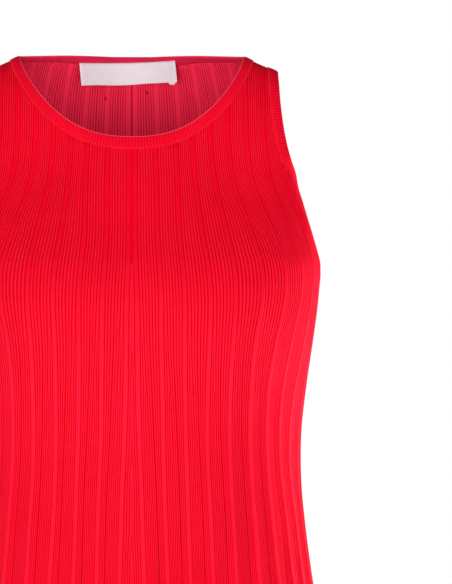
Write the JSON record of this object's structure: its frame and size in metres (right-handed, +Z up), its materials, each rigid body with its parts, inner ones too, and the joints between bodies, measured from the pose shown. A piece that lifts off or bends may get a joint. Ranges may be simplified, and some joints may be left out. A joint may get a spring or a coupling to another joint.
{
  "type": "flared mini dress",
  "caption": "Sleeveless rib-knit mini dress, filled out as worn: round neck, fitted bodice, flared fluted skirt, folded neck and arm bands.",
  "frame": {"origin": "middle of the shoulders, level with their high points, where the wearer holds the dress up", "axes": "+Z up, the front faces -Y, +X is the wearer's left"},
  "size_m": [0.463, 0.35, 0.8453],
  "materials": {
    "rib_knit": "soft rib knit with a slight sheen",
    "band_knit": "fine rib knit, folded double",
    "label_satin": "woven satin, blank"
  },
  "bodies": {
    "root": {"front": "rib_knit", "back": "rib_knit", "neckband": "band_knit", "armband_left": "band_knit", "armband_right": "band_knit", "neck_label": "label_satin"}
  },
  "joints": []
}
